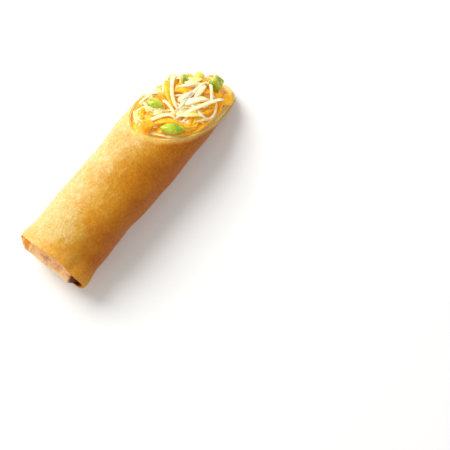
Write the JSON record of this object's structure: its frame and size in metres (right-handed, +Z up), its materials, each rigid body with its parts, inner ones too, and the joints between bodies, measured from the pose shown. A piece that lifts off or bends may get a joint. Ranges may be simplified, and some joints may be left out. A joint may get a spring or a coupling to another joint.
{
  "type": "fried spring roll",
  "caption": "Crisp golden rolled pastry folded shut at one end and cut on a slant at the other, showing a vegetable and noodle filling.",
  "frame": {"origin": "middle of the roll's outer box, on the surface it lies on", "axes": "+X along the roll from its folded end to its cut end, +Z up, away from the surface it lies on, +Y across the roll"},
  "size_m": [0.118, 0.0378, 0.0342],
  "materials": {
    "pastry": "fried, slightly oily, mottled gold",
    "filling": "moist, cooked",
    "green_vegetable": "moist, glossy",
    "corn": "moist, glossy",
    "carrot": "moist, cooked"
  },
  "bodies": {
    "root": {"wrapper": "pastry", "filling": "filling", "green_bean_front": "green_vegetable", "green_bean_left": "green_vegetable", "green_cube_right": "green_vegetable", "green_piece_back": "green_vegetable", "corn_kernel": "corn", "carrot_chunk_left": "carrot", "carrot_chunk_right": "carrot"}
  },
  "joints": []
}
